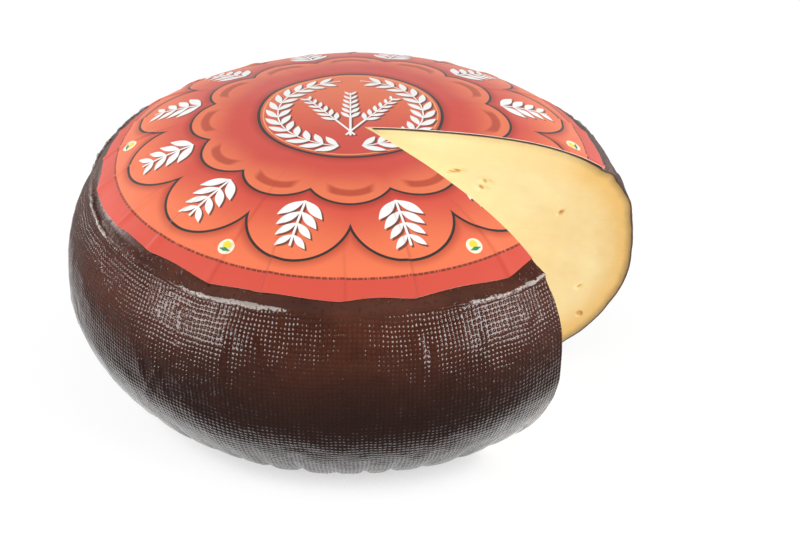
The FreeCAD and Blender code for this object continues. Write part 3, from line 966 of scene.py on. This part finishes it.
def rind_material(look, section):
    """Dark coated rind with the press cloth's weave, smooth inside the lid line. Shade and the lip's
    highlight are painted.
    """
    material, w, shader = new_material("coated_rind")
    girth, run = w.attribute("girth"), w.attribute("run")
    place = w.place(girth, run)
    cloth = w.use(cloth_marks(), Place=place, Pitch=look.weave_pitch)["Height"]
    patches = w.use(blotches(), Place=w.coordinate(), Scale=26.0)["Patches"]
    woven = w.ramp(w.attribute("past_lip"), 0.2, 1.1)
    smooth = 1.0 - woven
    # where the cloth lay loose, small ridges cross its weave
    creased = w.noise(place, 60.0, detail=3.0, roughness=0.6, distortion=1.2, seed=4.0)
    ridges = w.ramp(w.size(creased - 0.5) * 2.0, 0.0, 0.10, 1.0, 0.0)
    upper = w.ramp(run, section.waist - 30 * MM, section.waist - 8 * MM, 1.0, 0.15)
    loose = w.ramp(w.noise(place, 24.0, distortion=0.3, seed=12.0), 0.50, 0.62) * upper
    height = cloth * (1.0 - loose * 0.45) + ridges * loose * 1.5
    smears = w.noise(w.place(girth * 0.25, run), 900.0, roughness=0.6, seed=6.0)
    # small pits in the smooth band: dents in the bump, and painted shade in the colour further down
    pits_and_pit_shade = w.ramp(w.noise(place, 620.0, roughness=0.6, seed=21.0), 0.54, 0.70) * smooth
    height = height * woven + smears * 0.12 - pits_and_pit_shade * 0.55
    height = height + w.noise(place, 95.0, roughness=0.55, distortion=0.6, seed=31.0) * 4.0 * woven
    colour = w.mix(patches, look.base, look.warm)
    # painted shade: the side darkens from above the waist down to the foot, where less light falls
    low = w.ramp(run, section.waist - 36 * MM, section.waist + 2 * MM)
    colour = w.mix(low * 0.84, colour, look.shade_brown)
    # painted shade in the weave's grooves and in the small pits
    groove = w.ramp(cloth, 0.05, 0.5, 0.75, 0.0) * woven
    colour = w.mix(groove * 0.35 + pits_and_pit_shade * 0.45, colour, look.shade_brown)
    # along the lip: partly scuffed wax, partly a painted highlight, as a pale grey in the colour
    crumbs = w.noise(place, 1100.0, roughness=0.6, seed=15.0)
    scuff_and_highlight = w.ramp(w.attribute("lip") * (crumbs * 4.5 - 1.2), 0.26, 0.50)
    colour = w.mix(scuff_and_highlight * 0.85, colour, look.scuff_and_highlight)
    w.feed(shader, Base_Color=colour, Roughness=patches * 0.04 + 0.24 - woven * 0.13 + scuff_and_highlight * 0.10,
           Specular_IOR_Level=0.34, Normal=w.bump(height + scuff_and_highlight * crumbs, look.weave_depth))
    return material


def paste_material(look):
    """Cut semi-soft cheese: pale middle, amber towards the rind, a thin dark line at the rind itself."""
    material, w, shader = new_material("cut_paste")
    place, depth = w.attribute("wall_place", "Vector"), w.attribute("rind_depth")
    reach, height, side = w.parts(place)
    patches = w.use(blotches(), Place=place, Scale=22.0)["Patches"]
    wander = (w.noise(place, 160.0, seed=3.0) - 0.5) * 0.0016
    colour = w.mix(patches * 0.27, look.pale, look.amber)
    colour = w.mix(w.ramp(reach, 0.012, 0.075, 0.75, 0.0), colour, look.heart)
    rim = w.ramp(depth + wander * 2.0, 0.0010, 0.0170, 1.0, 0.0)
    lidded = w.ramp(height, 0.082, 0.097)
    rim = rim * w.ramp(reach, 0.020, 0.085, 0.30, 1.0) * (1.0 - lidded * 0.5)
    colour = w.mix(rim * 0.75, colour, look.amber)
    eyes = w.node("ShaderNodeTexVoronoi", voronoi_dimensions="3D")
    askew = (w.noise(place, 300.0, detail=1.0) - 0.5) * 0.004
    w.feed(eyes, Vector=w.place(reach + askew, height, side), Scale=34.0)
    eye = w.ramp(Field(w, eyes.outputs["Distance"]), 0.030, 0.062, 1.0, 0.0)
    # painted shade inside the openings and eyes
    hollow = w.most(w.ramp(w.attribute("hollow"), 0.30, 0.75), eye)
    colour = w.mix(hollow * 0.85, colour, look.opening)
    close = w.ramp(depth + wander, 0.0005, 0.0040, 1.0, 0.0)
    colour = w.mix(close * (0.85 - lidded * 0.6), colour, look.under_rind)
    line = w.ramp(depth + wander * 0.7, 0.00030, 0.0009, 1.0, 0.0)
    colour = w.mix(line, colour, look.rind_line)
    drag = w.noise(w.place(reach * 0.12 + side, height + reach * 0.1), 700.0, roughness=0.6, seed=2.0)
    grain = w.noise(place, 1500.0, roughness=0.6, seed=8.0)
    w.feed(shader, Base_Color=colour, Roughness=0.42, Subsurface_Weight=0.25,
           Subsurface_Radius=(1.0, 0.55, 0.2), Subsurface_Scale=0.004,
           Normal=w.bump(drag * 0.7 + grain * 0.3 - eye * 4.0, 0.00014))
    return material


def print_material(look):
    """Printed paper: two staggered rings of round petals about a medallion, with white leaf sprays."""
    material, w, shader = new_material("printed_paper")
    place = w.attribute("print_place", "Vector")
    x, y, _ = w.parts(place)
    far, angle = w.span(x, y), w.math("ARCTAN2", y, x)
    petals, motifs = round_petals(), white_motifs()
    outer, inner = (w.use(petals, Place=place, **ring) for ring in (OUTER_PETALS, INNER_PETALS))
    tone = w.noise(place, 30.0, detail=3.0, distortion=0.2, seed=2.0)
    drift = tone - 0.5
    colour = w.mix(tone * 0.5 + 0.25, look.red, look.orange)
    colour = w.mix(w.ramp(far, 0.074, 0.086) * 0.8, colour, look.orange)
    colour = w.mix(w.ramp(far, BORDER_START, BORDER_END) * 0.85, colour, look.border)

    def lay(colour, shape, bright, line=0.00042):
        """Lays a shape over the print, with a soft shade round it and a thin dark line at its edge."""
        colour = w.mix(w.ramp(shape, -0.0042, 0.0004) * 0.55, colour, look.shade)
        colour = w.mix(w.ramp(shape, 0.0, 0.00012), colour, w.mix(bright, look.red, look.orange))
        return w.mix(w.ramp(w.size(shape), line, line + 0.00012, 1.0, 0.0), colour, look.line)

    colour = lay(colour, outer["Inside"], w.ramp(outer["Along"] + drift * 0.012, -0.010, 0.015))
    colour = lay(colour, inner["Inside"], w.ramp(inner["Along"] + drift * 0.010, -0.004, 0.012))
    arc_x, arc_y = inner["Across"], inner["Along"] + 0.002
    crescent = w.ramp(w.size(w.span(arc_x, arc_y) - 0.0120), 0.0010, 0.0022, 1.0, 0.0)
    crescent = crescent * w.ramp(w.size(arc_x), 0.0060, 0.0090, 1.0, 0.0) * w.ramp(arc_y, 0.0, 0.003)
    colour = w.mix(crescent * 0.65, colour, look.crescent)
    medallion = MEDALLION_RADIUS - far
    colour = lay(colour, medallion, w.ramp(y + drift * 0.02, -0.030, 0.030), 0.0005)
    ring = w.ramp(w.size(medallion - 0.0017), 0.00022, 0.00036, 1.0, 0.0)
    colour = w.mix(ring * 0.8, colour, look.gold)
    shade = w.use(motifs, Place=w.place(x - 0.0007, y + 0.0008))["Mask"]
    colour = w.mix(shade * 0.85, colour, look.drop_shade)
    colour = w.mix(w.use(motifs, Place=place)["Mask"], colour, look.white)
    broken = w.noise(w.place(angle, 0.0), 70.0, detail=1.0, seed=6.0)
    dashes = w.ramp(w.math("FRACT", angle * DASHES_PER_RADIAN), 0.10, 0.16) * w.ramp(broken, 0.36, 0.42)
    thin = w.ramp(w.size(far - DASHES_RADIUS), 0.00034, 0.0005, 1.0, 0.0)
    colour = w.mix(thin * dashes * 0.8, colour, look.dashes)
    small = w.use(petals, Place=place, **SMALL_ROUNDS)
    across, along = small["Across"], small["Along"]
    disc = w.ramp(small["Inside"], 0.0, 0.00015)
    core = w.ramp(w.span(across, along + 0.0007), 0.0014, 0.0016, 1.0, 0.0)
    leaf = w.ramp(w.size(along - 0.0011) + w.size(across) * 0.35, 0.0007, 0.0009, 1.0, 0.0)
    # painted shade in the crease at the foot of each pleat
    folds = w.attribute("fold") * 0.5
    for mask, ink in ((disc, look.cream), (core, look.yellow), (leaf * disc, look.green), (folds, look.fold)):
        colour = w.mix(mask, colour, ink)
    w.feed(shader, Base_Color=colour, Roughness=0.60, Specular_IOR_Level=0.20, Sheen_Weight=0.15,
           Sheen_Roughness=0.45, Normal=w.bump(w.noise(place, 60.0, seed=11.0), 0.0006))
    return material


def paper_edge_material(look):
    """Bare paper at the edges and under the print."""
    material, w, shader = new_material("bare_paper")
    stains = w.use(blotches(), Place=w.coordinate(), Scale=160.0)["Patches"]
    w.feed(shader, Base_Color=w.mix(stains * 0.3, look.paper, look.glue), Roughness=0.7)
    return material


def stage_material():
    """Pale floor that reads as white to the camera but keeps the wheel's shadow, with a painted contact
    shadow and a painted reflection sheet.
    """
    material, w, shader = new_material("pale_floor")
    path = w.node("ShaderNodeLightPath")
    camera, through, glossy = (Field(w, path.outputs[f"Is {kind} Ray"])
                               for kind in ("Camera", "Transmission", "Glossy"))
    x, y, _ = w.parts(w.coordinate())
    # painted contact shadow: ambient occlusion dims the floor's glow close to the wheel
    near = w.node("ShaderNodeAmbientOcclusion", samples=8)
    w.feed(near, Distance=0.018)
    ao_for_painted_shadow = Field(w, near.outputs["AO"])
    seen = w.most(camera, through) * w.ramp(ao_for_painted_shadow, 0.12, 0.38, 0.62, 1.0)
    seen = seen * w.ramp(w.span(x, y), 0.4, 1.8, 0.80, 1.0)
    # a glowing sheet under the wheel that only reflection rays see, no lamp: a painted reflection on the
    # belly
    sheet = w.ramp(w.span(x, y - 0.055), 0.150, 0.174, 1.30, 0.0) * w.ramp(w.size(x), 0.080, 0.160, 1.0, 0.60)
    mirrored = glossy * sheet * w.ramp(ao_for_painted_shadow, 0.15, 0.8, 0.45, 1.0)
    w.feed(shader, Base_Color=(0.25, 0.25, 0.25), Roughness=0.9, Specular_IOR_Level=0.0,
           Emission_Color=(1.0, 1.0, 1.0), Emission_Strength=w.most(seen, mirrored))
    return material


def hang(name, thing, at, towards):
    """An object for a lamp or camera at a place, looking at another."""
    ahead = np.array(towards) - np.array(at)
    holder = bpy.data.objects.new(name, thing)
    holder.location = at
    level = math.hypot(ahead[0], ahead[1])
    holder.rotation_euler = (math.atan2(level, -ahead[2]), 0.0, math.atan2(-ahead[0], ahead[1]))
    bpy.context.collection.objects.link(holder)
    return holder


# ---------------------------------------------------------------- operators


class OBJECT_OT_cut_cheese(Operator):
    """Builds the cheese in its rind, with its two cut walls"""

    bl_idname = "object.cut_cheese"
    bl_label = "Cheese in Its Rind"

    def execute(self, context):
        scene = context.scene
        section = Section(scene.cheese_wheel)
        materials = [rind_material(scene.cheese_rind, section), paste_material(scene.cheese_paste)]
        piece = dressed_cheese(scene.cheese_wheel, scene.cheese_cut, materials)
        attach(piece, "root")
        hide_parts("cheese_wheel")
        return {"FINISHED"}


class OBJECT_OT_paper_disc(Operator):
    """Builds the printed paper disc on the crown"""

    bl_idname = "object.paper_disc"
    bl_label = "Printed Paper Disc"

    def execute(self, context):
        scene = context.scene
        materials = [print_material(scene.cheese_print), paper_edge_material(scene.cheese_print)]
        piece = printed_paper(scene.cheese_wheel, scene.cheese_cut, scene.cheese_label, materials)
        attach(piece, "root")
        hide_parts("paper_label")
        return {"FINISHED"}


class OBJECT_OT_cheese_stage(Operator):
    """Builds the plain floor, the studio lamps, the world and the camera"""

    bl_idname = "object.cheese_stage"
    bl_label = "Stage"

    def execute(self, context):
        scene = context.scene
        corners = [(FLOOR_HALF * x, FLOOR_HALF * y, 0.0) for x, y in ((-1, -1), (1, -1), (1, 1), (-1, 1))]
        new_piece("pale_floor", corners, [(0, 1, 2, 3)], [stage_material()])
        for name, (at, breadth, height, power) in LAMPS.items():
            lamp = bpy.data.lights.new(name, "AREA")
            lamp.shape = "RECTANGLE"
            lamp.size, lamp.size_y, lamp.energy = breadth, height, power
            hang(name, lamp, at, LAMPS_AIM)
        world = bpy.data.worlds.new("studio")
        scene.world = world
        world.use_nodes = True
        w = Wiring(world.node_tree)
        _, depth, rise = w.parts(w.coordinate("Generated"))
        strength = w.ramp(rise - w.ramp(depth, 0.2, 0.8) * 0.20, 0.03, 0.12, 1.0, 0.14)
        w.feed(world.node_tree.nodes["Background"], Color=(1.0, 1.0, 1.0), Strength=strength)
        scene.view_settings.view_transform = "Standard"
        camera = bpy.data.cameras.new("camera")
        camera.lens, camera.sensor_width, camera.clip_start = 68.4, 36.0, 0.01
        camera.shift_x, camera.shift_y = CAMERA_SHIFT
        x, y, z = CAMERA_AIM
        at = (x, y - CAMERA_AWAY * math.cos(CAMERA_RISE), z + CAMERA_AWAY * math.sin(CAMERA_RISE))
        scene.camera = hang("camera", camera, at, CAMERA_AIM)
        return {"FINISHED"}


class VIEW3D_PT_cheese(Panel):
    """Sidebar panel with the sizes, colours and steps"""

    bl_idname = "VIEW3D_PT_cheese"
    bl_label = "Abbey Cheese Wheel"
    bl_space_type = "VIEW_3D"
    bl_region_type = "UI"
    bl_category = "Cheese"

    def draw(self, context):
        layout = self.layout
        for name, group in GROUPS.items():
            box = layout.box()
            for prop in group.__annotations__:
                box.prop(getattr(context.scene, name), prop)
        for step in STEPS:
            layout.operator(step.bl_idname)


GROUPS = {
    "cheese_wheel": WheelSizes,
    "cheese_cut": CutSizes,
    "cheese_label": LabelSizes,
    "cheese_rind": RindLook,
    "cheese_paste": PasteLook,
    "cheese_print": PrintLook,
}
STEPS = (OBJECT_OT_cut_cheese, OBJECT_OT_paper_disc, OBJECT_OT_cheese_stage)


def register():
    """Registers the classes and hangs the settings on the scene."""
    for kind in (*GROUPS.values(), *STEPS, VIEW3D_PT_cheese):
        bpy.utils.register_class(kind)
    for name, group in GROUPS.items():
        setattr(bpy.types.Scene, name, PointerProperty(type=group))


def unregister():
    """Takes the settings and classes away again."""
    for name in GROUPS:
        delattr(bpy.types.Scene, name)
    for kind in (VIEW3D_PT_cheese, *STEPS[::-1], *reversed(GROUPS.values())):
        bpy.utils.unregister_class(kind)


def main():
    """Builds everything."""
    register()
    bpy.ops.object.cut_cheese()
    bpy.ops.object.paper_disc()
    bpy.ops.object.cheese_stage()


if __name__ == "__main__":
    main()
